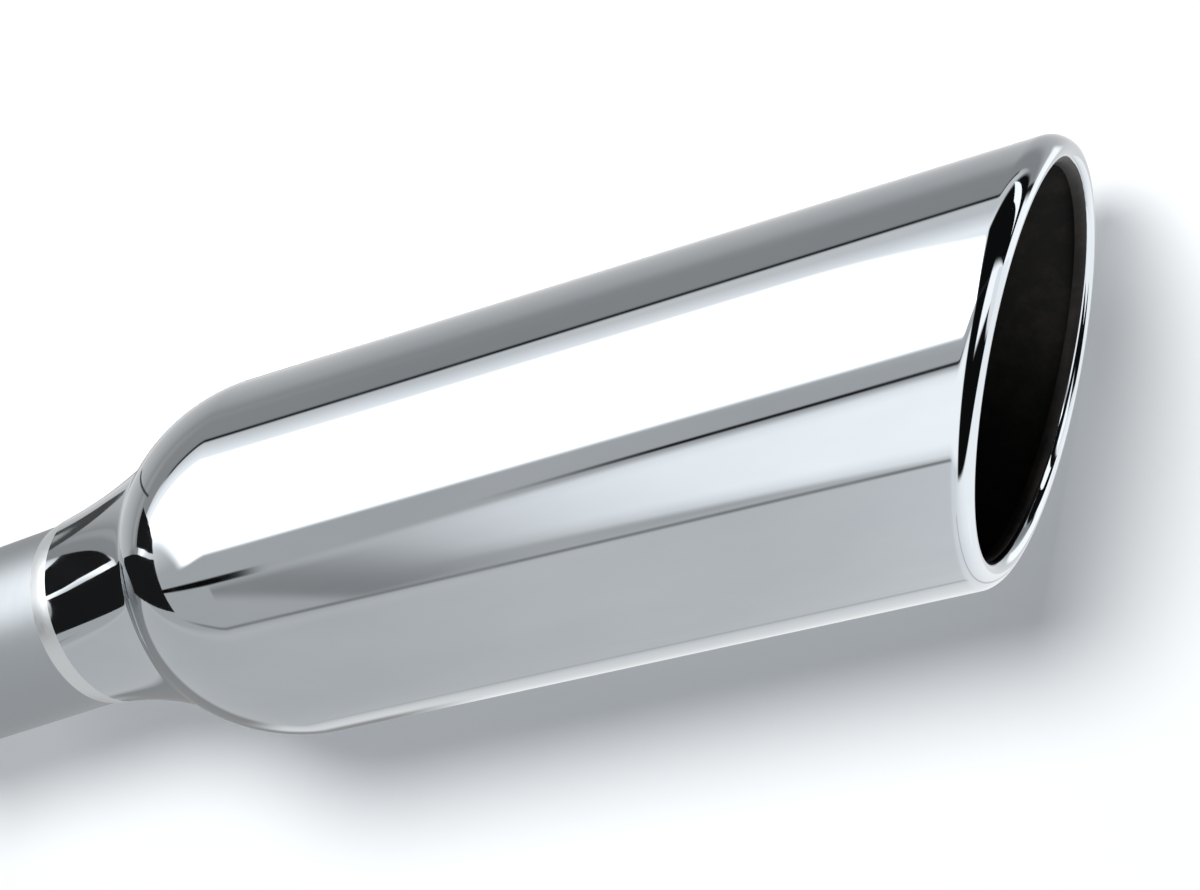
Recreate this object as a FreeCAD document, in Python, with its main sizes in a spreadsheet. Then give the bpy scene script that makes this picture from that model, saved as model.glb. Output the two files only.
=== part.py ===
import FreeCAD, Part
import math
import os

import Sketcher

# An angle-cut exhaust tip in millimetres. The polished shell is one formed
# sheet: a collar, a bell, a rounded shoulder, a straight barrel and a rim
# rolled in all round the slanted mouth. Its collar is butt-welded to a satin
# inlet pipe that leaves the barrel's line by a few degrees.
# +X runs along the barrel to the mouth, +Z points to the mouth's long side,
# and the origin is the centre of the pipe's open end.

SIZES = {
    # Inlet pipe
    "pipe_diameter": 55.0,
    "pipe_wall": 1.5,
    "pipe_length": 70.0,
    "pipe_edge_break": 0.4,
    "bend_angle": 3.6,
    # Collar and bell
    "shell_wall": 1.5,
    "collar_step": 0.2,
    "collar_rise": 0.75,
    "collar_length": 3.6,
    "bell_start_angle": 7.0,
    "bell_end_angle": 23.9,
    # Shoulder, and the blend in the valley between it and the bell
    "shoulder_length": 35.0,
    "shoulder_curve": 56.0,
    "valley_blend": 10.0,
    # Barrel and mouth
    "barrel_diameter": 101.6,
    "barrel_length": 243.0,
    "cut_angle": 25.2,
    # Rim: the wall rolls in by rim_curve, then ends at a deburred edge
    "rim_curve": 5.5,
    "rim_inset": 6.1,
    "rim_edge_break": 0.6,
}
# How far the stock reaches past the slanted cut, and the cut past the stock
CUT_MARGIN = 5.0
# Rings that the bell is lofted through, from the valley to the collar
BELL_STATIONS = 6

doc = FreeCAD.newDocument("exhaust_tip")
sheet = doc.addObject("Spreadsheet::Sheet", "sizes")
for row, (alias, number) in enumerate(SIZES.items(), start=1):
    sheet.set(f"A{row}", alias)
    sheet.set(f"B{row}", str(number))
    sheet.setAlias(f"B{row}", alias)
doc.recompute()


def size(alias):
    return f"<<sizes>>.{alias}"


def value(expression):
    return float(sheet.evalExpression(expression))


# Sizes that follow from the driving ones
BARREL_RADIUS = f"({size('barrel_diameter')} / 2)"
SHOULDER_INNER_CURVE = f"({size('shoulder_curve')} - {size('shell_wall')})"
VALLEY_RADIUS = (f"({BARREL_RADIUS} - {size('shoulder_curve')}"
                 f" + sqrt({size('shoulder_curve')}^2 - {size('shoulder_length')}^2))")
VALLEY_INNER_RADIUS = (f"({BARREL_RADIUS} - {size('shoulder_curve')}"
                       f" + sqrt({SHOULDER_INNER_CURVE}^2 - {size('shoulder_length')}^2))")
COLLAR_RADIUS = f"({size('pipe_diameter')} / 2 + {size('collar_step')})"
BELL_START_RADIUS = f"({COLLAR_RADIUS} + {size('collar_rise')})"

# The bell's outline is one arc from the collar to the valley. Its two end
# slopes and what it has to climb give its length and its radius, so the valley
# is as deep on any barrel.
BELL_MEAN_ANGLE = f"(({size('bell_start_angle')} + {size('bell_end_angle')}) / 2)"
BELL_LENGTH = f"(({VALLEY_RADIUS} - {BELL_START_RADIUS}) / tan({BELL_MEAN_ANGLE}))"
BELL_CURVE = (f"({BELL_LENGTH}"
              f" / (sin({size('bell_end_angle')}) - sin({size('bell_start_angle')})))")
# The bell's centre line is an arc that takes up the whole bend
BEND_CURVE = f"({BELL_LENGTH} / ({size('bend_angle')} * pi / 180))"

# The slanted mouth leaves the axis at barrel_length
MOUTH_SLOPE = f"tan({size('cut_angle')})"
BARREL_END = f"({size('barrel_length')} + {BARREL_RADIUS} * {MOUTH_SLOPE} + {CUT_MARGIN})"
# The rim's front stands on the wall's middle and is as thick as the wall
RIM_DIAMETER = f"({size('barrel_diameter')} - {size('shell_wall')})"
RIM_DEPTH = f"({size('shell_wall')} / cos({size('cut_angle')}))"
OPENING_RADIUS = f"({BARREL_RADIUS} - {size('rim_inset')})"


def make_body(label):
    body = doc.addObject("PartDesign::Body", label)
    body.Label = label
    return body


def make_sketch(body, name, role):
    sketch = body.newObject("Sketcher::SketchObject", name)
    plane = next(f for f in body.Origin.OriginFeatures if f.Role == role)
    sketch.AttachmentSupport = (plane, "")
    sketch.MapMode = "FlatFace"
    return sketch


def bind(sketch, kind, name, refs, expression):
    amount = value(expression)
    if kind == "Angle":
        amount = math.radians(amount)
    index = sketch.addConstraint(Sketcher.Constraint(kind, *refs, amount))
    sketch.renameConstraint(index, name)
    sketch.setExpression(f"Constraints.{name}", expression)


def line(sketch, start, end):
    return sketch.addGeometry(Part.LineSegment(point(start), point(end)), False)


def arc(sketch, centre, radius, start_degrees, end_degrees):
    circle = Part.Circle(point(centre), FreeCAD.Vector(0, 0, 1), radius)
    start = math.radians(start_degrees)
    end = math.radians(end_degrees)
    return sketch.addGeometry(Part.ArcOfCircle(circle, start, end), False)


def point(pair):
    return FreeCAD.Vector(pair[0], pair[1], 0)


# The numbers by which a constraint knows a curve's points and the two axes
START, END, CENTRE = range(1, 4)
H_AXIS, V_AXIS = range(-1, -3, -1)
ORIGIN = (H_AXIS, START)
# How edges are told apart: points looked at on each, and what counts as met
EDGE_SAMPLES = 9
NEAR = 0.01


def join(sketch, *pairs):
    for first, second in pairs:
        sketch.addConstraint(Sketcher.Constraint("Coincident", *first, *second))


def smooth(sketch, *pairs):
    for first, second in pairs:
        sketch.addConstraint(Sketcher.Constraint("Tangent", *first, *second))


def upright(sketch, *curves):
    for curve in curves:
        sketch.addConstraint(Sketcher.Constraint("Vertical", curve))


def level(sketch, *curves):
    for curve in curves:
        sketch.addConstraint(Sketcher.Constraint("Horizontal", curve))


# Section of the shoulder and the barrel, turned about the barrel's axis. The
# shoulder starts at x = 0, at the valley where it meets the bell.
def barrel_section(body):
    sketch = make_sketch(body, "barrel_section", "XZ_Plane")
    radius = value(BARREL_RADIUS)
    wall = value(size("shell_wall"))
    shoulder = value(size("shoulder_length"))
    curve = value(size("shoulder_curve"))
    centre = (shoulder, radius - curve)
    end = value(BARREL_END)
    outer_angle = 90 + math.degrees(math.asin(shoulder / curve))
    inner_angle = 90 + math.degrees(math.asin(shoulder / (curve - wall)))

    outer_arc = arc(sketch, centre, curve, 90, outer_angle)
    outer_line = line(sketch, (shoulder, radius), (end, radius))
    end_line = line(sketch, (end, radius), (end, radius - wall))
    inner_line = line(sketch, (end, radius - wall), (shoulder, radius - wall))
    inner_arc = arc(sketch, centre, curve - wall, 90, inner_angle)
    start_line = line(sketch, (0, value(VALLEY_INNER_RADIUS)), (0, value(VALLEY_RADIUS)))

    smooth(sketch, ((outer_arc, START), (outer_line, START)))
    smooth(sketch, ((inner_line, END), (inner_arc, START)))
    join(sketch,
         ((outer_line, END), (end_line, START)),
         ((end_line, END), (inner_line, START)),
         ((inner_arc, END), (start_line, START)),
         ((start_line, END), (outer_arc, END)),
         ((inner_arc, CENTRE), (outer_arc, CENTRE)))
    level(sketch, outer_line)
    upright(sketch, end_line, start_line)
    sketch.addConstraint(Sketcher.Constraint("PointOnObject", start_line, END, V_AXIS))
    bind(sketch, "DistanceY", "radius", (*ORIGIN, outer_line, START), BARREL_RADIUS)
    bind(sketch, "DistanceX", "end", (*ORIGIN, outer_line, END), BARREL_END)
    bind(sketch, "Distance", "wall", (end_line,), size("shell_wall"))
    bind(sketch, "Radius", "curve", (outer_arc,), size("shoulder_curve"))
    bind(sketch, "DistanceX", "shoulder", (*ORIGIN, outer_arc, CENTRE), size("shoulder_length"))
    return sketch


# What the slanted cut takes off, drawn on the mirror plane
def waste_section(body):
    sketch = make_sketch(body, "waste_section", "XZ_Plane")
    half_height = f"({BARREL_RADIUS} + {CUT_MARGIN})"
    top_start = f"({size('barrel_length')} + {half_height} * {MOUTH_SLOPE})"
    low_start = f"({size('barrel_length')} - {half_height} * {MOUTH_SLOPE})"
    front = f"({BARREL_END} + {CUT_MARGIN})"
    top_left = (value(top_start), value(half_height))
    low_left = (value(low_start), -value(half_height))
    top_right = (value(front), value(half_height))
    low_right = (value(front), -value(half_height))

    slant_line = line(sketch, low_left, top_left)
    top_line = line(sketch, top_left, top_right)
    front_line = line(sketch, top_right, low_right)
    low_line = line(sketch, low_right, low_left)
    join(sketch,
         ((slant_line, END), (top_line, START)),
         ((top_line, END), (front_line, START)),
         ((front_line, END), (low_line, START)),
         ((low_line, END), (slant_line, START)))
    level(sketch, top_line, low_line)
    upright(sketch, front_line)
    bind(sketch, "DistanceX", "top_start", (*ORIGIN, top_line, START), top_start)
    bind(sketch, "DistanceX", "low_start", (*ORIGIN, low_line, END), low_start)
    bind(sketch, "DistanceX", "front", (*ORIGIN, front_line, START), front)
    bind(sketch, "DistanceY", "above", (*ORIGIN, top_line, START), half_height)
    bind(sketch, "DistanceY", "below", (low_line, END, *ORIGIN), half_height)
    return sketch


# Outline of the rim's front on the slanted plane, drawn on the wall's middle
def rim_outline(body):
    sketch = make_sketch(body, "rim_outline", "YZ_Plane")
    forward = FreeCAD.Vector(0, 0, value(size("barrel_length")))
    tilt = FreeCAD.Rotation(FreeCAD.Vector(1, 0, 0), value(size("cut_angle")))
    sketch.AttachmentOffset = FreeCAD.Placement(forward, tilt)
    sketch.setExpression("AttachmentOffset.Base.z", size("barrel_length"))
    sketch.setExpression("AttachmentOffset.Rotation.Angle", size("cut_angle"))

    long_length = f"({RIM_DIAMETER} / cos({size('cut_angle')}))"
    long_end = point((0, value(long_length) / 2))
    short_end = point((value(RIM_DIAMETER) / 2, 0))
    ellipse = sketch.addGeometry(Part.Ellipse(long_end, short_end, point((0, 0))), False)
    sketch.exposeInternalGeometry(ellipse)
    long_axis = ellipse + 1
    short_axis = ellipse + 2
    join(sketch, ((ellipse, CENTRE), ORIGIN))
    upright(sketch, long_axis)
    bind(sketch, "Distance", "long_length", (long_axis,), long_length)
    bind(sketch, "Distance", "short_length", (short_axis,), RIM_DIAMETER)
    return sketch


# Circle of the opening, seen along the barrel. It starts past the shoulder.
def opening_outline(body):
    sketch = make_sketch(body, "opening_outline", "YZ_Plane")
    sketch.setExpression("AttachmentOffset.Base.z", size("shoulder_length"))
    circle = Part.Circle(point((0, 0)), FreeCAD.Vector(0, 0, 1), value(OPENING_RADIUS))
    edge = sketch.addGeometry(circle, False)
    join(sketch, ((edge, CENTRE), ORIGIN))
    bind(sketch, "Radius", "radius", (edge,), OPENING_RADIUS)
    return sketch


# One hollow ring of the neck, square to its bent centre line
def neck_ring(body, name, along, drop, tilt, outer, inner):
    sketch = make_sketch(body, name, "YZ_Plane")
    back = FreeCAD.Vector(0, -value(drop), -value(along))
    turn = FreeCAD.Rotation(FreeCAD.Vector(-1, 0, 0), value(tilt))
    sketch.AttachmentOffset = FreeCAD.Placement(back, turn)
    sketch.setExpression("AttachmentOffset.Base.y", f"-{drop}")
    sketch.setExpression("AttachmentOffset.Base.z", f"-{along}")
    sketch.setExpression("AttachmentOffset.Rotation.Angle", tilt)
    for label, radius in (("outer", outer), ("inner", inner)):
        circle = Part.Circle(point((0, 0)), FreeCAD.Vector(0, 0, 1), value(radius))
        edge = sketch.addGeometry(circle, False)
        join(sketch, ((edge, CENTRE), ORIGIN))
        bind(sketch, "Radius", label, (edge,), radius)
    return sketch


# Rings of the bell, evenly spaced from the valley down to the collar
def bell_rings(body):
    rings = []
    for station in range(BELL_STATIONS):
        share = station / (BELL_STATIONS - 1)
        tilt = f"({size('bend_angle')} * {share})"
        along = f"({BEND_CURVE} * sin({tilt}))"
        drop = f"({BEND_CURVE} * (1 - cos({tilt})))"
        slope_sine = (f"(sin({size('bell_start_angle')})"
                      f" + {BELL_LENGTH} * {1 - share} / {BELL_CURVE})")
        slope_cosine = f"sqrt(1 - {slope_sine}^2)"
        outer = (f"({BELL_START_RADIUS} + {BELL_CURVE}"
                 f" * (cos({size('bell_start_angle')}) - {slope_cosine}))")
        inner = f"({outer} - {size('shell_wall')} / {slope_cosine})"
        if station == 0:
            inner = VALLEY_INNER_RADIUS
        rings.append(neck_ring(body, f"bell_ring_{station}", along, drop, tilt, outer, inner))
    return rings


# The collar's two ends: the bell's last ring again, and the welded end
def collar_rings(body):
    tilt = f"({size('bend_angle')} * 1)"
    along = f"({BEND_CURVE} * sin({tilt}))"
    drop = f"({BEND_CURVE} * (1 - cos({tilt})))"
    far_along = f"({along} + {size('collar_length')} * cos({tilt}))"
    far_drop = f"({drop} + {size('collar_length')} * sin({tilt}))"
    start_inner = f"({BELL_START_RADIUS} - {size('shell_wall')} / cos({size('bell_start_angle')}))"
    end_inner = f"({COLLAR_RADIUS} - {size('shell_wall')})"
    start = neck_ring(body, "collar_start", along, drop, tilt, BELL_START_RADIUS, start_inner)
    end = neck_ring(body, "collar_end", far_along, far_drop, tilt, COLLAR_RADIUS, end_inner)
    return start, end


# Names the edges of a shape that lie wholly at one radius about the barrel's
# axis and, measured along the slope given, wholly at one station or one range
def round_edges(shape, radius, first, last, slope):
    names = []
    for number, edge in enumerate(shape.Edges, start=1):
        spots = edge.discretize(EDGE_SAMPLES)
        stations = [spot.x - spot.z * slope for spot in spots]
        at_radius = all(abs(math.hypot(spot.y, spot.z) - radius) < NEAR for spot in spots)
        in_range = min(stations) > first - NEAR and max(stations) < last + NEAR
        goes_round = abs(spots[0].y - spots[1].y) + abs(spots[0].z - spots[1].z) > NEAR
        if at_radius and in_range and goes_round:
            names.append(f"Edge{number}")
    if not names:
        raise RuntimeError(f"no edge at radius {radius:.2f} between {first:.2f} and {last:.2f}")
    return names


def fillet(body, name, base, edges, radius):
    feature = body.newObject("PartDesign::Fillet", name)
    feature.Base = (base, edges)
    feature.setExpression("Radius", radius)
    doc.recompute()
    return feature


def chamfer(body, name, base, edges, leg):
    feature = body.newObject("PartDesign::Chamfer", name)
    feature.Base = (base, edges)
    feature.setExpression("Size", leg)
    doc.recompute()
    return feature


# Shuts the barrel's slanted end with a plate as thick as the wall, rolls the
# outer corner between them, clears the hidden inner one, then opens the plate
def make_mouth(body):
    mouth_cut = body.newObject("PartDesign::Pocket", "mouth_cut")
    mouth_cut.Profile = waste_section(body)
    mouth_cut.Type = "ThroughAll"
    mouth_cut.Midplane = True
    rim_front = body.newObject("PartDesign::Pad", "rim_front")
    rim_front.Profile = rim_outline(body)
    rim_front.UseCustomVector = True
    rim_front.Direction = FreeCAD.Vector(-1, 0, 0)
    rim_front.AlongSketchNormal = False
    rim_front.setExpression("Length", RIM_DEPTH)
    doc.recompute()

    slope = value(MOUTH_SLOPE)
    front = value(size("barrel_length"))
    back = front - value(RIM_DEPTH)
    outside = value(BARREL_RADIUS)
    inside = outside - value(size("shell_wall"))
    outer_edges = round_edges(rim_front.Shape, outside, front, front, slope)
    outer_roll = fillet(body, "outer_roll", rim_front, outer_edges, size("rim_curve"))
    inner_edges = round_edges(outer_roll.Shape, inside, back, back, slope)
    # As deep at its middle as an inner roll of the same wall would be
    inner_leg = f"({size('rim_curve')} - {size('shell_wall')}) * (2 - sqrt(2))"
    chamfer(body, "inner_corner", outer_roll, inner_edges, inner_leg)

    opening = body.newObject("PartDesign::Pocket", "opening")
    opening.Profile = opening_outline(body)
    opening.Type = "ThroughAll"
    opening.Reversed = True
    doc.recompute()
    middle = (front + back) / 2
    lip = round_edges(opening.Shape, value(OPENING_RADIUS), middle, front, slope)
    return chamfer(body, "rim_edge", opening, lip, size("rim_edge_break"))


def make_outer_shell():
    body = make_body("outer_shell")
    barrel = body.newObject("PartDesign::Revolution", "barrel")
    barrel.Profile = barrel_section(body)
    barrel.ReferenceAxis = (barrel.Profile[0], ["H_Axis"])
    barrel.Angle = 360

    bell = body.newObject("PartDesign::AdditiveLoft", "bell")
    rings = bell_rings(body)
    bell.Profile = rings[0]
    bell.Sections = rings[1:]

    collar = body.newObject("PartDesign::AdditiveLoft", "collar")
    start, end = collar_rings(body)
    collar.Profile = start
    collar.Sections = [end]
    doc.recompute()

    # The valley is as round inside as out
    valley = (round_edges(collar.Shape, value(VALLEY_RADIUS), 0, 0, 0)
              + round_edges(collar.Shape, value(VALLEY_INNER_RADIUS), 0, 0, 0))
    fillet(body, "valley_blend", collar, valley, size("valley_blend"))
    body.Tip = make_mouth(body)

    # The shell's own origin is the centre of the valley
    neck = f"({size('pipe_length')} + {size('collar_length')})"
    bend = size("bend_angle")
    body.setExpression("Placement.Base.x", f"{neck} * cos({bend}) + {BEND_CURVE} * sin({bend})")
    body.setExpression("Placement.Base.z",
                       f"{neck} * sin({bend}) + {BEND_CURVE} * (1 - cos({bend}))")
    return body


def make_inlet_pipe():
    body = make_body("inlet_pipe")
    section = make_sketch(body, "pipe_section", "YZ_Plane")
    outer = f"({size('pipe_diameter')} / 2)"
    inner = f"({outer} - {size('pipe_wall')})"
    for label, radius in (("outer", outer), ("inner", inner)):
        circle = Part.Circle(point((0, 0)), FreeCAD.Vector(0, 0, 1), value(radius))
        edge = section.addGeometry(circle, False)
        join(section, ((edge, CENTRE), ORIGIN))
        bind(section, "Radius", label, (edge,), radius)
    tube = body.newObject("PartDesign::Pad", "tube")
    tube.Profile = section
    tube.setExpression("Length", size("pipe_length"))
    doc.recompute()

    open_end = [f"Edge{number}" for number, edge in enumerate(tube.Shape.Edges, start=1)
                if edge.BoundBox.XMax < NEAR]
    body.Tip = chamfer(body, "deburred_end", tube, open_end, size("pipe_edge_break"))

    upward = FreeCAD.Rotation(FreeCAD.Vector(0, -1, 0), value(size("bend_angle")))
    body.Placement = FreeCAD.Placement(FreeCAD.Vector(0, 0, 0), upward)
    body.setExpression("Placement.Rotation.Angle", size("bend_angle"))
    return body


nodes = [make_outer_shell(), make_inlet_pipe()]
doc.recompute()

for item in doc.Objects:
    if "Invalid" in item.State or "Error" in item.State:
        raise RuntimeError(f"{item.Label} failed: {item.State}")
for node in nodes:
    if node.Shape.isNull() or not node.Shape.isValid() or len(node.Shape.Solids) != 1:
        raise RuntimeError(f"{node.Label} is not one valid solid")

os.makedirs("parts", exist_ok=True)
for node in nodes:
    node.Shape.exportStep(f"parts/{node.Label}.step")
    box = node.Shape.BoundBox
    print(node.Label, round(node.Shape.Volume), "mm3",
          round(box.XMin, 2), round(box.XMax, 2), round(box.ZMin, 2), round(box.ZMax, 2))
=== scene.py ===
import math

import bmesh
import bpy
from mathutils import Matrix, Vector


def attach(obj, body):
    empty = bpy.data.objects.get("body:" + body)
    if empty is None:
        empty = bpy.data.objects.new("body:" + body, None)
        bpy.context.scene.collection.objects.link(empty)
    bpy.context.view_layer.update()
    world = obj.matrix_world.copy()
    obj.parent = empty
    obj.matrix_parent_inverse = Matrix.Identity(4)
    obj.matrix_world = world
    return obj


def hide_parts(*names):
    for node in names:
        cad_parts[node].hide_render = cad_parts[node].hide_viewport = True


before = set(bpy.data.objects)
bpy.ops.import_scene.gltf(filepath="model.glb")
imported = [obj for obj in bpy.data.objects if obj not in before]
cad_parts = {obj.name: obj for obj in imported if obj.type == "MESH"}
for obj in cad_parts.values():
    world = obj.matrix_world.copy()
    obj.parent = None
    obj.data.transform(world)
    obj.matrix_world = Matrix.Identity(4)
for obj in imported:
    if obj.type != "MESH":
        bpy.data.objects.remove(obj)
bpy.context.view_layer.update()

mm = 0.001


def linearPart(part):
    # one sRGB value, 0 to 1, as linear light
    return part / 12.92 if part <= 0.04045 else ((part + 0.055) / 1.055) ** 2.4


def hexColour(code):
    return [linearPart(int(code[i:i + 2], 16) / 255) for i in (0, 2, 4)] + [1.0]


def addNode(tree, kind, inputs=None, **settings):
    # a new node; each input is given a value or the socket that feeds it
    node = tree.nodes.new(kind)
    for name, value in settings.items():
        setattr(node, name, value)
    for socket, source in (inputs or {}).items():
        if isinstance(source, bpy.types.NodeSocket):
            tree.links.new(source, node.inputs[socket])
        else:
            node.inputs[socket].default_value = source
    return node


def maths(tree, operation, *values):
    node = addNode(tree, "ShaderNodeMath", dict(enumerate(values)), operation=operation)
    return node.outputs[0]


def newMaterial(name):
    material = bpy.data.materials.new(name)
    material.use_nodes = True
    material.node_tree.nodes.clear()
    return material, material.node_tree


# the shell, in mm: collar, bell, valley, shoulder, barrel and the rim rolled in round a slanted
# mouth
shell = {
    "around": 256,           # points round each ring
    "wall": 1.5,
    "axisHeight": 5.765,     # barrel axis above the inlet's
    "valleyAt": 109.848,     # where the bell meets the shoulder, along X
    "bend": 3.6,             # degrees between inlet and barrel
    "collarLength": 3.6,
    "collarStart": 27.7,
    "collarBore": 26.2,
    "groundRings": 4,        # rings of faces ground together with the weld
    "bellLength": 36.417,
    "bellTurn": 579.59,      # radius of the bell's centre line
    "bellStart": 28.45,
    "bellCurve": 128.56,
    "bellSlope": 7.0,
    "bellRings": 26,
    "valleyRound": 10.0,
    "valleyRings": 6,
    "shoulderLength": 35.0,
    "shoulderCurve": 56.0,
    "shoulderRings": 30,
    "innerBellStart": 1.5,   # the inside's bell starts this far before the valley
    "innerBellRings": 10,
    "innerShoulderRings": 12,
    "barrelRadius": 50.8,
    "barrelInset": 0.4,      # the plain barrel's end rings, past the shoulder and before the roll
    "mouthAt": 352.848,      # mouth plane on the barrel axis
    "cutAngle": 25.2,
    "rollRadius": 5.5,       # rolled-in rim
    "rollRings": 26,
    "hole": 44.2,
    "lip": 2.4,              # radius by which the rim's edge curls back inside
    "lipRings": 14,
    "turnedBack": 1.6,       # how far it then runs straight back
    "innerRimRings": 4,      # each, behind the lip and behind the roll
    "smoothAngle": 35,
}

bend = math.radians(shell["bend"])
cut = math.radians(shell["cutAngle"])
mouthNormal = Vector((math.cos(cut), 0, -math.sin(cut)))


def spine(along):
    # centre and tilt of the ring at this distance from the valley
    if along >= 0:
        return Vector((shell["valleyAt"] + along, 0, shell["axisHeight"])), 0.0
    tilt = min(-along / shell["bellLength"], 1) * bend
    centre = Vector((shell["valleyAt"] - shell["bellTurn"] * math.sin(tilt), 0,
                     shell["axisHeight"] - shell["bellTurn"] * (1 - math.cos(tilt))))
    rest = -along - shell["bellLength"]
    if rest > 0:
        centre -= rest * Vector((math.cos(bend), 0, math.sin(bend)))
    return centre, tilt


def bellRadius(along):
    start = math.radians(shell["bellSlope"])
    lean = math.sin(start) + (along + shell["bellLength"]) / shell["bellCurve"]
    rise = math.cos(start) - math.sqrt(1 - lean ** 2)
    return shell["bellStart"] + shell["bellCurve"] * rise, math.asin(lean)


def shoulderRadius(along, curve):
    drop = shell["barrelRadius"] - shell["shoulderCurve"]
    return drop + math.sqrt(curve ** 2 - (shell["shoulderLength"] - along) ** 2)


def outerProfile():
    # (distance from the valley, radius) from the weld to the start of the barrel
    weldAt = -shell["bellLength"] - shell["collarLength"]
    rows = [(weldAt, shell["collarStart"]),
            (weldAt + shell["collarLength"] / 2, (shell["collarStart"] + shell["bellStart"]) / 2)]
    shoulderSlope = math.asin(shell["shoulderLength"] / shell["shoulderCurve"])
    bellSlope = bellRadius(0)[1]
    leg = shell["valleyRound"] * math.tan((shoulderSlope - bellSlope) / 2)
    bellEnd = -leg * math.cos(bellSlope)
    for i in range(shell["bellRings"] + 1):
        along = -shell["bellLength"] + (bellEnd + shell["bellLength"]) * i / shell["bellRings"]
        rows.append((along, bellRadius(along)[0]))
    # the valley is a small hollow arc between the two slopes
    fromAlong, fromRadius = rows[-1]
    slope = bellRadius(bellEnd)[1]
    for i in range(1, shell["valleyRings"] + 1):
        turned = slope + (shoulderSlope - slope) * i / shell["valleyRings"]
        rows.append((fromAlong + shell["valleyRound"] * (math.sin(turned) - math.sin(slope)),
                     fromRadius + shell["valleyRound"] * (math.cos(slope) - math.cos(turned))))
    # its last ring gives way to the shoulder's first
    first = rows.pop()[0]
    startTurn = math.asin((shell["shoulderLength"] - first) / shell["shoulderCurve"])
    for i in range(shell["shoulderRings"] + 1):
        turn = startTurn * (1 - i / shell["shoulderRings"])
        along = shell["shoulderLength"] - shell["shoulderCurve"] * math.sin(turn)
        rows.append((along, shoulderRadius(along, shell["shoulderCurve"])))
    rows.append((shell["shoulderLength"] + shell["barrelInset"], shell["barrelRadius"]))
    return rows


def innerProfile():
    # the same back from the barrel to the weld, one wall further in
    curve = shell["shoulderCurve"] - shell["wall"]
    rows = [(shell["shoulderLength"] + shell["barrelInset"],
             shell["barrelRadius"] - shell["wall"])]
    for i in range(shell["innerShoulderRings"] + 1):
        along = shell["shoulderLength"] * (1 - i / shell["innerShoulderRings"])
        rows.append((along, shoulderRadius(along, curve)))
    start = shell["innerBellStart"]
    for i in range(1, shell["innerBellRings"] + 1):
        along = -start + (start - shell["bellLength"]) * i / shell["innerBellRings"]
        radius, slope = bellRadius(along)
        rows.append((along, radius - shell["wall"] / math.cos(slope)))
    rows.append((-shell["bellLength"] - shell["collarLength"], shell["collarBore"]))
    return rows


def pullRing(state, along, radius):
    # extrude the open end, then move, scale and lean the new ring
    centre, tilt = spine(along)
    centre = centre * mm
    move = {"value": centre - state["centre"]}
    bpy.ops.mesh.extrude_edges_move(TRANSFORM_OT_translate=move)
    grow = radius / state["radius"]
    bpy.ops.transform.resize(value=(grow, grow, grow), center_override=centre)
    if tilt != state["tilt"]:
        bpy.ops.transform.rotate(value=tilt - state["tilt"], orient_axis="Y",
                                 center_override=centre)
    state.update(centre=centre, tilt=tilt, radius=radius)


def placeRing(placeOf):
    # extrude the open end, then put each point where the rolled rim has it
    bpy.ops.mesh.extrude_edges_move()
    mesh = bmesh.from_edit_mesh(bpy.context.object.data)
    for v in mesh.verts:
        if v.select:
            v.co = placeOf(math.atan2(v.co.y, v.co.z - shell["axisHeight"] * mm)) * mm
    bmesh.update_edit_mesh(bpy.context.object.data)


def outward(around):
    return Vector((0, math.sin(around), math.cos(around)))


def rimMeridian(around):
    # the ball that rolls in the corner between barrel and mouth plane, at this angle
    away = outward(around)
    ballRadius = shell["barrelRadius"] - shell["rollRadius"]
    ballAt = (shell["mouthAt"] - shell["rollRadius"] / math.cos(cut)
              + ballRadius * math.cos(around) * math.tan(cut))
    ball = away * ballRadius + Vector((ballAt, 0, shell["axisHeight"]))
    turn = math.acos(mouthNormal.dot(away))
    across = (mouthNormal - away * mouthNormal.dot(away)).normalized()
    return ball, away, across, turn


def rimPoint(around, travel):
    # a point and its normal, this far round the roll and on across the front
    ball, away, across, turn = rimMeridian(around)
    angle = min(travel / shell["rollRadius"], turn)
    normal = away * math.cos(angle) + across * math.sin(angle)
    point = ball + normal * shell["rollRadius"]
    if angle == turn:
        inward = across * math.cos(turn) - away * math.sin(turn)
        point += inward * (travel - turn * shell["rollRadius"])
    return point, normal


lipEnds = {}                 # by angle, since each ring asks again


def lipTravel(around):
    # how far the front goes before the lip's rounding starts, found by halving
    key = round(around, 6)
    if key not in lipEnds:
        near, far = 0.0, 30.0
        for halving in range(48):
            middle = (near + far) / 2
            point, normal = rimPoint(around, middle)
            start = point - normal * shell["lip"]
            fromAxis = math.hypot(start.y, start.z - shell["axisHeight"])
            if fromAxis > shell["hole"] + shell["lip"]:
                near = middle
            else:
                far = middle
        lipEnds[key] = near
    return lipEnds[key]


# each of these gives a function that places one ring, for placeRing
def rollPlace(share, depth=0.0):
    def place(around):
        point, normal = rimPoint(around, lipTravel(around) * share)
        return point - normal * depth
    return place


def lipPlace(share, depth=0.0):
    def place(around):
        point, normal = rimPoint(around, lipTravel(around))
        middle = point - normal * shell["lip"]
        inward = -Vector((0, middle.y, middle.z - shell["axisHeight"])).normalized()
        turn = normal.angle(inward) * share
        side = (inward - normal * normal.dot(inward)).normalized()
        rounded = (normal * math.cos(turn) + side * math.sin(turn)) * shell["lip"]
        return middle + rounded - normal * depth
    return place


def returnPlace(back, depth=0.0):
    edge = lipPlace(1.0, depth)

    def place(around):
        return edge(around) - Vector((back, 0, 0))
    return place


def barrelPlace(back, radius):
    def place(around):
        ball, away, across, turn = rimMeridian(around)
        return Vector((ball.x - back, 0, shell["axisHeight"])) + away * radius
    return place


def circlePlace(along, radius):
    def place(around):
        return spine(along)[0] + outward(around) * radius
    return place


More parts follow.
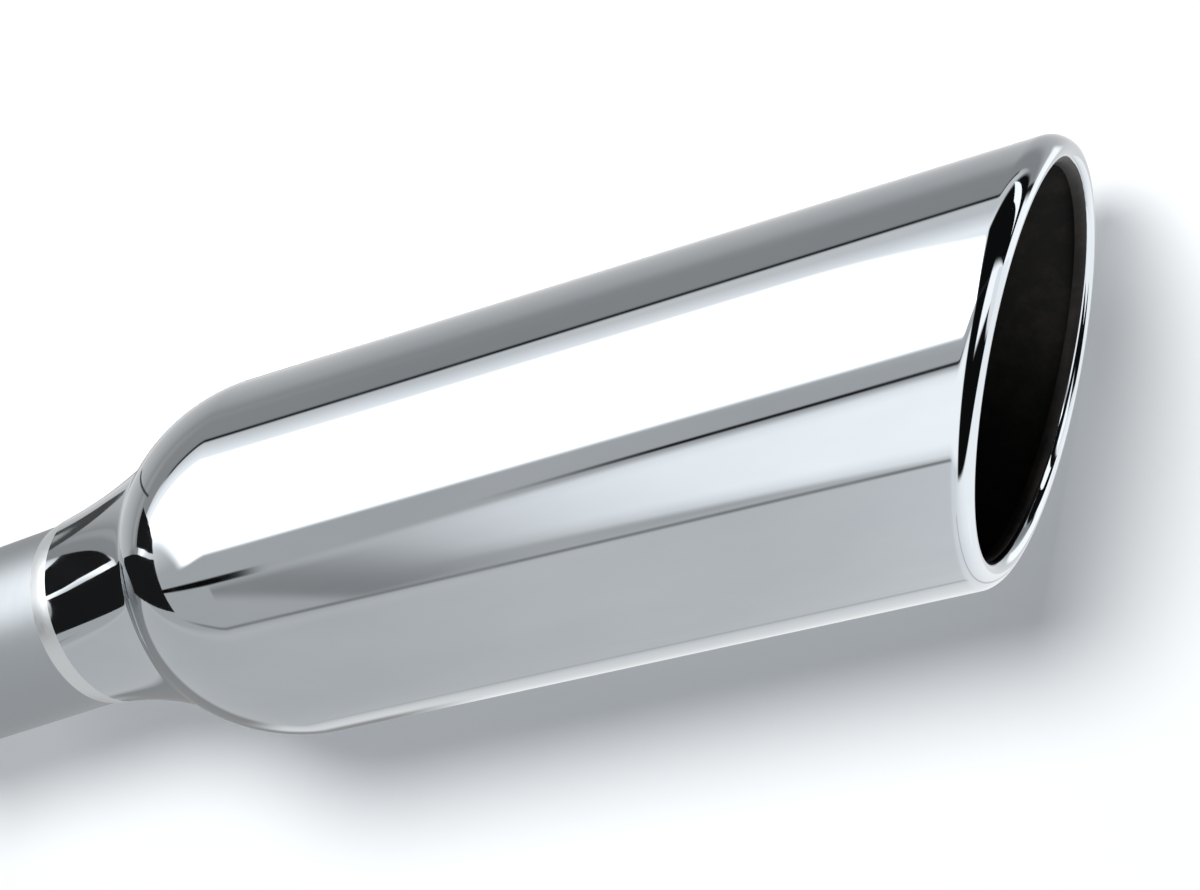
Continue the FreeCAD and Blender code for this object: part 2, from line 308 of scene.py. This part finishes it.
def startTube(name, points, radius, centre, tilt):
    # a ring of edges, square to X apart from the tilt, open for extruding
    bpy.ops.object.select_all(action="DESELECT")
    bpy.ops.mesh.primitive_circle_add(vertices=points, radius=radius * mm, fill_type="NOTHING",
                                      location=centre, rotation=(0, math.pi / 2 - tilt, 0))
    piece = bpy.context.object
    piece.name = name
    bpy.ops.object.transform_apply(location=True, rotation=True, scale=True)
    bpy.ops.object.mode_set(mode="EDIT")
    bpy.ops.mesh.select_all(action="SELECT")
    return piece


def closeTube(smoothAngle):
    # join the last ring to the first
    bpy.ops.mesh.select_all(action="DESELECT")
    bpy.ops.mesh.select_non_manifold()
    bpy.ops.mesh.bridge_edge_loops()
    bpy.ops.mesh.select_all(action="SELECT")
    bpy.ops.mesh.normals_make_consistent(inside=False)
    bpy.ops.object.mode_set(mode="OBJECT")
    bpy.ops.object.shade_smooth_by_angle(angle=math.radians(smoothAngle))


def makeShell():
    rows = outerProfile()
    centre, tilt = spine(rows[0][0])
    centre = centre * mm
    piece = startTube("polished_shell", shell["around"], rows[0][1], centre, tilt)
    state = {"centre": centre, "tilt": tilt, "radius": rows[0][1]}
    for along, radius in rows[1:]:
        pullRing(state, along, radius)
    # barrel, rolled rim and lip
    placeRing(barrelPlace(shell["barrelInset"], shell["barrelRadius"]))
    for i in range(shell["rollRings"] + 1):
        placeRing(rollPlace(i / shell["rollRings"]))
    for i in range(1, shell["lipRings"] + 1):
        placeRing(lipPlace(i / shell["lipRings"]))
    placeRing(returnPlace(shell["turnedBack"]))
    polished = len(bmesh.from_edit_mesh(piece.data).faces)
    # the edge that was cut, the back of the rim, then the inside wall to the weld
    placeRing(returnPlace(shell["turnedBack"], shell["wall"]))
    steps = shell["innerRimRings"]
    for i in range(steps, -1, -1):
        placeRing(lipPlace(i / steps, shell["wall"]))
    for i in range(steps - 1, -1, -1):
        placeRing(rollPlace(i / steps, shell["wall"]))
    rows = innerProfile()
    placeRing(circlePlace(rows[0][0], rows[0][1]))
    state = {"centre": spine(rows[0][0])[0] * mm, "tilt": 0.0, "radius": rows[0][1]}
    for along, radius in rows[1:]:
        pullRing(state, along, radius)
    closeTube(shell["smoothAngle"])
    # faces after the polished ones take the inside's painted shade, the first rings the ground
    # collar
    for face in piece.data.polygons:
        if face.index >= polished:
            face.material_index = 1
        elif face.index < shell["groundRings"] * shell["around"]:
            face.material_index = 2
    return piece


# the inlet pipe, a plain tube with broken edges at its open end, in mm
pipe = {
    "around": 192,
    "length": 70.0,
    "radius": 27.5,
    "bore": 26.0,
    "edge": 0.4,
    "smoothAngle": 30,
}


def makePipe():
    axis = Vector((math.cos(bend), 0, math.sin(bend)))
    length, outer, inner, edge = pipe["length"], pipe["radius"], pipe["bore"], pipe["edge"]
    # (distance from the open end, radius) out along the outside and back through the bore
    rows = [(edge, outer), (length, outer), (length, inner),
            (edge, inner), (0, inner + edge), (0, outer - edge)]
    piece = startTube("satin_pipe", pipe["around"], outer, axis * edge * mm, bend)
    for (fromAlong, fromRadius), (along, radius) in zip(rows, rows[1:]):
        move = {"value": axis * (along - fromAlong) * mm}
        bpy.ops.mesh.extrude_edges_move(TRANSFORM_OT_translate=move)
        bpy.ops.transform.resize(value=(radius / fromRadius,) * 3,
                                 center_override=axis * along * mm)
    closeTube(pipe["smoothAngle"])
    return piece


# the finishes, and the inside's painted shade; roughness runs between two values, noise is (scale,
# detail, roughness)
finishes = {
    "polished": {"darker": "b3bac0", "lighter": "cacfd3", "cloud": (26.0, 4.0, 0.6),
                 "haze": (60.0, 3.0, 0.6), "hazeRange": (0.3, 0.8), "roughness": (0.02, 0.06),
                 "wave": (30.0, 0.0, 0.5), "waveDepth": 0.0003, "waveShare": 0.5,
                 "drawnOut": 0.4},   # clouds and waves are longer along the barrel
    "ground": {"colour": "d8dbdd", "marks": (900.0, 2.0, 0.5), "roughness": (0.34, 0.42)},
    # the inside: near-black brown tones with a faint mottle, painted shade of the deep bore
    "paintedShade": {"darker": "1c1a19", "lighter": "302d2b", "mottle": (110.0, 6.0, 0.65),
               "mottleRange": (0.45, 0.7), "metal": 0.7, "roughness": 0.5},
    "satin": {"colour": "a3a8ac", "grain": (1500.0, 2.0, 0.5), "roughness": (0.46, 0.5),
              "linesRound": 0.06},
}


def addNoise(tree, vector, noise):
    scale, detail, roughness = noise
    node = addNode(tree, "ShaderNodeTexNoise", {"Vector": vector, "Scale": scale,
                                                "Detail": detail, "Roughness": roughness})
    return node.outputs["Fac"]


def spread(tree, noise, fromRange, toRange):
    node = addNode(tree, "ShaderNodeMapRange", {"Value": noise,
                                                "From Min": fromRange[0], "From Max": fromRange[1],
                                                "To Min": toRange[0], "To Max": toRange[1]})
    return node.outputs["Result"]


def polishedSteel():
    # stainless steel buffed to a mirror: a clear, slightly blue-grey reflection
    finish = finishes["polished"]
    material, tree = newMaterial("polishedSteel")
    place = addNode(tree, "ShaderNodeTexCoord").outputs["Object"]
    rough = spread(tree, addNoise(tree, place, finish["haze"]),
                   finish["hazeRange"], finish["roughness"])
    drawn = addNode(tree, "ShaderNodeMapping",
                    {"Vector": place, "Scale": (finish["drawnOut"], 1.0, 1.0)}).outputs["Vector"]
    tone = addNode(tree, "ShaderNodeMix", {0: addNoise(tree, drawn, finish["cloud"]),
                                           6: hexColour(finish["darker"]),
                                           7: hexColour(finish["lighter"])}, data_type="RGBA")
    # the sheet isn't dead flat: its long shallow waves make the reflected lines waver
    bump = addNode(tree, "ShaderNodeBump", {"Strength": finish["waveShare"],
                                            "Distance": finish["waveDepth"],
                                            "Height": addNoise(tree, drawn, finish["wave"])})
    surface = addNode(tree, "ShaderNodeBsdfPrincipled",
                      {"Base Color": tone.outputs[2], "Metallic": 1.0, "Roughness": rough,
                       "Normal": bump.outputs["Normal"]})
    addNode(tree, "ShaderNodeOutputMaterial", {"Surface": surface.outputs["BSDF"]})
    return material


def groundCollar():
    # the narrow collar, ground flush with the weld: paler and duller than the buffed bell
    finish = finishes["ground"]
    material, tree = newMaterial("groundSteel")
    place = addNode(tree, "ShaderNodeTexCoord").outputs["Object"]
    rough = spread(tree, addNoise(tree, place, finish["marks"]), (0.3, 0.7), finish["roughness"])
    surface = addNode(tree, "ShaderNodeBsdfPrincipled",
                      {"Base Color": hexColour(finish["colour"]), "Metallic": 1.0,
                       "Roughness": rough})
    addNode(tree, "ShaderNodeOutputMaterial", {"Surface": surface.outputs["BSDF"]})
    return material


def insideWithPaintedShade():
    # the inside, coloured brown-black with a faint mottle: painted shade of the deep bore, on a
    # rough part-metal surface that gives back little
    finish = finishes["paintedShade"]
    material, tree = newMaterial("insideSteelPaintedShade")
    place = addNode(tree, "ShaderNodeTexCoord").outputs["Object"]
    ramp = addNode(tree, "ShaderNodeValToRGB", {"Fac": addNoise(tree, place, finish["mottle"])})
    for element, position, colour in zip(ramp.color_ramp.elements, finish["mottleRange"],
                                         (finish["darker"], finish["lighter"])):
        element.position = position
        element.color = hexColour(colour)
    surface = addNode(tree, "ShaderNodeBsdfPrincipled",
                      {"Base Color": ramp.outputs["Color"], "Metallic": finish["metal"],
                       "Roughness": finish["roughness"]})
    addNode(tree, "ShaderNodeOutputMaterial", {"Surface": surface.outputs["BSDF"]})
    return material


def satinSteel():
    # drawn stainless tube with a fine satin finish: a soft, even sheen with faint lines round it
    finish = finishes["satin"]
    material, tree = newMaterial("satinSteel")
    place = addNode(tree, "ShaderNodeTexCoord").outputs["Object"]
    lines = addNode(tree, "ShaderNodeMapping",
                    {"Vector": place, "Scale": (1.0, finish["linesRound"], finish["linesRound"])})
    rough = spread(tree, addNoise(tree, lines.outputs["Vector"], finish["grain"]),
                   (0.3, 0.7), finish["roughness"])
    surface = addNode(tree, "ShaderNodeBsdfPrincipled",
                      {"Base Color": hexColour(finish["colour"]), "Metallic": 1.0,
                       "Roughness": rough})
    addNode(tree, "ShaderNodeOutputMaterial", {"Surface": surface.outputs["BSDF"]})
    return material


shellPiece = makeShell()
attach(shellPiece, "root")
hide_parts("outer_shell")
print("shell:", len(shellPiece.data.polygons), "faces")

pipePiece = makePipe()
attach(pipePiece, "root")
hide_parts("inlet_pipe")
print("pipe:", len(pipePiece.data.polygons), "faces")

for material in (polishedSteel(), insideWithPaintedShade(), groundCollar()):
    shellPiece.data.materials.append(material)
pipePiece.data.materials.append(satinSteel())
print("finishes:", len(finishes))


camera = {
    "place": (0.4016, -0.4069, -0.1225),
    "right": (0.90164, 0.41031, -0.13671),
    "up": (0.24262, -0.21818, 0.94527),
    "back": (0.35803, -0.88546, -0.29627),
    "lens": 52.28,
    "sensor": 36,
    "clipStart": 0.01,
}

studio = {
    "floorLean": -18.5,      # the backdrop's normal, degrees from -Y towards +Z: square to the view
    "floorMiddle": 0.25,     # along X, in metres as are the lengths below
    "floorGap": 0.0515,      # from the barrel's axis
    "floorSize": 6,
    "floorTone": "d9dbdc",
    "floorGlowTone": "e9f0f8",
    "floorGlow": 0.215,
    "lampStrength": 11.0,    # a big round lamp, above the camera and to its left
    "lampAcross": 0.22,
    "lampUp": 0.155,
    "lampLeft": 0.19,
    "roomTone": "f2f5f8",    # what the room adds to matt surfaces
    "roomLevel": 0.16,
    "boxLight": 3.6,         # the overhead softbox
    "steelShare": 0.55,      # what the polished steel gives back
}


def floorPlace():
    lean = math.radians(studio["floorLean"])
    normal = Vector((0, -math.cos(lean), math.sin(lean)))
    axis = Vector((studio["floorMiddle"], 0, shell["axisHeight"] * mm))
    return axis - normal * studio["floorGap"], normal


def makeFloor():
    # pale paper that takes the shadow; clear from behind, and the steel sees the room instead of it
    middle, normal = floorPlace()
    bpy.ops.object.select_all(action="DESELECT")
    bpy.ops.mesh.primitive_plane_add(size=studio["floorSize"], location=middle,
                                     rotation=normal.to_track_quat("Z", "Y").to_euler())
    floor = bpy.context.object
    floor.name = "studio_floor"
    floor.visible_glossy = False
    material, tree = newMaterial("palePaper")
    path = addNode(tree, "ShaderNodeLightPath")
    glow = maths(tree, "MULTIPLY", path.outputs["Is Camera Ray"], studio["floorGlow"])
    paper = addNode(tree, "ShaderNodeBsdfDiffuse", {"Color": hexColour(studio["floorTone"])})
    shine = addNode(tree, "ShaderNodeEmission",
                    {"Color": hexColour(studio["floorGlowTone"]), "Strength": glow})
    both = addNode(tree, "ShaderNodeAddShader", {0: paper.outputs[0], 1: shine.outputs[0]})
    clear = addNode(tree, "ShaderNodeBsdfTransparent")
    side = addNode(tree, "ShaderNodeNewGeometry")
    mixed = addNode(tree, "ShaderNodeMixShader", {0: side.outputs["Backfacing"],
                                                  1: both.outputs[0], 2: clear.outputs[0]})
    addNode(tree, "ShaderNodeOutputMaterial", {"Surface": mixed.outputs[0]})
    floor.data.materials.append(material)


def makeLamp():
    # the lamp that throws the soft shadow, as strong far off as near
    middle, normal = floorPlace()
    place = (Vector(camera["place"]) - Vector(camera["right"]) * studio["lampLeft"]
             + Vector(camera["up"]) * studio["lampUp"])
    bpy.ops.object.light_add(type="AREA", location=place)
    lamp = bpy.context.object
    lamp.name = "shadowLamp"
    lamp.rotation_euler = (place - middle).to_track_quat("Z", "Y").to_euler()
    lamp.visible_glossy = False
    lamp.data.shape = "DISK"
    lamp.data.size = studio["lampAcross"]
    lamp.data.energy = studio["lampStrength"]
    lamp.data.use_nodes = True
    tree = lamp.data.node_tree
    tree.nodes.clear()
    even = addNode(tree, "ShaderNodeLightFalloff", {"Strength": 1.0})
    light = addNode(tree, "ShaderNodeEmission", {"Strength": even.outputs["Constant"]})
    addNode(tree, "ShaderNodeOutputLight", {"Surface": light.outputs[0]})


# what stands round the part, by its direction: turn is the angle about the barrel (0 to the front,
# 90 up), reach is how far it lies along the barrel (-1 inlet end, 1 mouth end); a tone is how it
# looks in the steel, 0 to 255
roomWall = [(-180, 196), (-155, 190), (-148, 176), (-140, 180), (-100, 180), (-57, 178),
            (-52, 158), (-12, 158), (-2, 158), (60, 236), (66.5, 208), (71.5, 186), (85, 184),
            (97, 131), (107, 146), (119, 156), (135, 166), (150, 186), (180, 196)]
roomCards = [
    # name, low edge and high edge: (turn at reachMiddle, gain per unit of reach, softness),
    # inlet edge and mouth edge: (reach at turnMiddle, gain per degree, softness),
    # tone, or None for the softbox
    ("table, mouth end", (-185, 0, 1), (-57, 0, 1), (-0.16, 0, 0.14), (1.2, 0, 0.1), 206),
    ("table, far mouth end", (-185, 0, 10), (-80, 0, 10), (0.30, 0, 0.3), (1.5, 0, 0.1), 234),
    ("band over the box", (81.0, 17, 1), (104, 17, 9), (-1.4, 0, 0.1), (1.2, 0, 0.1), 127),
    ("contour at the rolled edge", (-185, 0, 1), (-96, 0, 3),
     (0.09, 0, 0.015), (0.13, 0, 0.015), 172),
    ("behind the top", (133, 0, 4), (190, 0, 4), (0.52, 0, 0.06), (1.2, 0, 0.1), 246),
    ("behind the top, end", (104, 0, 3), (190, 0, 3), (0.92, 0, 0.02), (1.2, 0, 0.1), 246),
    ("line behind the top", (80, 0, 4), (130, 0, 4), (0.86, 0, 0.012), (0.9, 0, 0.012), 24),
    ("table, inlet end", (-150, 0, 6), (-57, 0, 6), (-1.4, 0, 0.1), (-0.42, 0, 0.16), 168),
    ("table edge", (-58.6, -16, 0.8), (-56.8, -16, 0.8), (-0.80, 0, 0.1), (-0.10, 0, 0.1), 118),
    ("table seam", (-149.5, 0, 1.2), (-147.5, 0, 1.2),
     (-0.55, 0, 0.08), (-0.12, 0, 0.08), 160),
    ("side wall", (-56, -44, 2), (-12, 24, 2), (-0.58, -0.0028, 0.13), (0.38, -0.002, 0.1), 214),
    ("side wall, bright", (-52, -44, 5), (-14, 24, 5),
     (-0.36, 0, 0.14), (0.38, -0.002, 0.1), 240),
    ("wall corner", (-52, 0, 3), (-24, 0, 3),
     (-0.73, -0.0028, 0.012), (-0.665, -0.0028, 0.05), 126),
    ("softbox", (4.0, 17, 2.2), (62.5, 11, 2.4),
     (-0.88, -0.0038, 0.07), (0.1, -0.0095, 0.035), None),
    ("gap under the box", (-9.6, 22, 0.6), (-7.9, 22, 0.6),
     (-0.38, 0, 0.06), (-0.02, 0, 0.06), 20),
    ("gap, inlet end", (-22.2, 0, 0.6), (-18.2, 0, 0.6),
     (-1.2, 0, 0.02), (-0.545, 0, 0.006), 8),
    ("gap over the box", (78.8, 17, 1.0), (81.4, 17, 1.0),
     (-0.78, 0, 0.05), (0.3, 0, 0.05), 26),
    ("dark mouth end, high", (8, 0, 6), (55, 45, 4), (0.113, -0.0071, 0.03), (1.2, 0, 0.1), 12),
    ("dark mouth end, low", (-60, -46, 3), (14, 0, 6), (0.285, 0, 0.035), (1.2, 0, 0.1), 12),
    ("under the neck", (-190, 0, 5), (-150, 0, 5), (-1.4, 0, 0.1), (-0.64, 0, 0.05), 122),
    ("behind the neck", (148, 0, 4), (190, 0, 4), (-1.4, 0, 0.1), (-0.47, 0, 0.03), 118),
    ("behind the neck, low", (-190, 0, 4), (-168, 0, 6),
     (-1.4, 0, 0.1), (-0.47, 0, 0.03), 118),
    ("behind the inlet, top", (84, 0, 4), (190, 0, 4), (-1.4, 0, 0.1), (-0.97, 0, 0.01), 112),
    ("mouth end lamp", (-31, 0, 5), (18, 0, 6), (0.775, 0.0015, 0.02), (1.2, 0, 0.1), 248),
    ("straight before the mouth", (-125, 0, 5), (12, 0, 5),
     (0.955, 0, 0.01), (1.2, 0, 0.1), 222),
]
reachMiddle = -0.17
turnMiddle = 30.0

# cards close by, which the neck, the valley and the far side of the rim see at an angle of their
# own; corners in mm
inletCards = -44.5
nearCards = [
    {"name": "cardLow", "tone": 22,
     "corners": [(inletCards, y, z) for y, z in
                 ((-112, -74), (-112, 18), (-98, 22), (-84, 28), (-60, 36), (-40, 40),
                  (0, 44), (0, 20), (-51, -21))]},
    {"name": "cardHigh", "tone": 22,
     "corners": [(inletCards, y, z) for y, z in
                 ((-112, 27), (-112, 48), (-100, 68), (-84, 82), (-56, 98),
                  (-56, 46), (-84, 38), (-98, 31))]},
    {"name": "stripTop", "tone": 60,
     "corners": [(inletCards, y, z) for y, z in ((-60, 112), (60, 130), (60, 133), (-60, 116))]},
    {"name": "cardUnderMouth", "tone": 236,
     "corners": [(385, -15, -100), (385, 90, -100), (500, 90, -100), (500, -15, -100)]},
    {"name": "cardBesideMouth", "tone": 250,
     "corners": [(394, -60, 62), (600, -60, 62), (600, -60, 130), (394, -60, 130)]},
]


def steelTone(level):
    # the light that the polished steel shows as this tone
    return linearPart(level / 255) / studio["steelShare"]


def cardEdge(tree, along, across, acrossMiddle, edge, fall):
    # 0 to 1 over an edge that slants with the other direction; fall is -1 for the far side
    place, gain, soft = edge
    straight = maths(tree, "MULTIPLY_ADD", across, -gain, along)
    middle = place - acrossMiddle * gain
    step = addNode(tree, "ShaderNodeMapRange", {"Value": straight,
                                                "From Min": middle - soft * fall,
                                                "From Max": middle + soft * fall},
                   interpolation_type="SMOOTHSTEP")
    return step.outputs["Result"]


def makeRoom():
    # the room as strips and cards of light round the barrel
    world = bpy.data.worlds.new("studioRoom")
    bpy.context.scene.world = world
    world.use_nodes = True
    tree = world.node_tree
    tree.nodes.clear()
    place = addNode(tree, "ShaderNodeTexCoord")
    split = addNode(tree, "ShaderNodeSeparateXYZ", {"Vector": place.outputs["Generated"]})
    reach = split.outputs["X"]
    front = maths(tree, "MULTIPLY", split.outputs["Y"], -1.0)
    radians = maths(tree, "ARCTAN2", split.outputs["Z"], front)
    turn = maths(tree, "MULTIPLY", radians, 180 / math.pi)
    fromMiddle = maths(tree, "SUBTRACT", turn, turnMiddle)
    share = addNode(tree, "ShaderNodeMapRange", {"Value": turn, "From Min": -180, "From Max": 180})
    ramp = addNode(tree, "ShaderNodeValToRGB", {"Fac": share.outputs["Result"]})
    elements = ramp.color_ramp.elements
    while len(elements) < len(roomWall):
        elements.new(0.5)
    for element, (degrees, level) in zip(elements, roomWall):
        element.position = (degrees + 180) / 360
        element.color = (steelTone(level),) * 3 + (1.0,)
    colour = ramp.outputs["Color"]
    for name, lowEdge, highEdge, inletEdge, mouthEdge, level in roomCards:
        masks = [cardEdge(tree, turn, reach, reachMiddle, lowEdge, 1),
                 cardEdge(tree, turn, reach, reachMiddle, highEdge, -1),
                 cardEdge(tree, reach, fromMiddle, 0, inletEdge, 1),
                 cardEdge(tree, reach, fromMiddle, 0, mouthEdge, -1)]
        mask = masks[0]
        for other in masks[1:]:
            mask = maths(tree, "MULTIPLY", mask, other)
        light = studio["boxLight"] if level is None else steelTone(level)
        mixed = addNode(tree, "ShaderNodeMix", {0: mask, 6: colour, 7: (light, light, light, 1.0)},
                        data_type="RGBA")
        mixed.label = name
        colour = mixed.outputs[2]
    # the steel sees the room, matt surfaces an even grey of it, and the camera plain white
    path = addNode(tree, "ShaderNodeLightPath")
    room = addNode(tree, "ShaderNodeBackground", {"Color": colour, "Strength": 1.0})
    plain = addNode(tree, "ShaderNodeBackground", {"Color": hexColour(studio["roomTone"]),
                                                   "Strength": studio["roomLevel"]})
    white = addNode(tree, "ShaderNodeBackground", {"Color": (1, 1, 1, 1), "Strength": 1.0})
    matt = addNode(tree, "ShaderNodeMixShader", {0: path.outputs["Is Diffuse Ray"],
                                                 1: room.outputs[0], 2: plain.outputs[0]})
    seen = addNode(tree, "ShaderNodeMixShader", {0: path.outputs["Is Camera Ray"],
                                                 1: matt.outputs[0], 2: white.outputs[0]})
    addNode(tree, "ShaderNodeOutputWorld", {"Surface": seen.outputs[0]})


def makeCard(card):
    # a sheet that only the steel sees
    bpy.ops.object.select_all(action="DESELECT")
    bpy.ops.mesh.primitive_circle_add(vertices=len(card["corners"]), radius=0.1,
                                      fill_type="NGON")
    piece = bpy.context.object
    piece.name = card["name"]
    for vertex, corner in zip(piece.data.vertices, card["corners"]):
        vertex.co = Vector(corner) * mm
    piece.visible_camera = False
    piece.visible_diffuse = False
    piece.visible_shadow = False
    piece.visible_transmission = False
    material, tree = newMaterial(card["name"])
    shine = addNode(tree, "ShaderNodeEmission", {"Color": (1, 1, 1, 1),
                                                 "Strength": steelTone(card["tone"])})
    addNode(tree, "ShaderNodeOutputMaterial", {"Surface": shine.outputs[0]})
    piece.data.materials.append(material)


def makeCamera():
    lens = bpy.data.cameras.new("camera")
    lens.lens = camera["lens"]
    lens.sensor_width = camera["sensor"]
    lens.sensor_fit = "HORIZONTAL"
    lens.clip_start = camera["clipStart"]
    view = bpy.data.objects.new("camera", lens)
    bpy.context.scene.collection.objects.link(view)
    axes = Matrix((camera["right"], camera["up"], camera["back"])).transposed().to_4x4()
    view.matrix_world = Matrix.Translation(camera["place"]) @ axes
    bpy.context.scene.camera = view


makeFloor()
makeLamp()
makeRoom()
for card in nearCards:
    makeCard(card)
print("studio:", len(roomCards), "cards round the room,", len(nearCards), "close by")

makeCamera()
bpy.context.scene.view_settings.view_transform = "Standard"
print("camera:", camera["lens"], "mm")
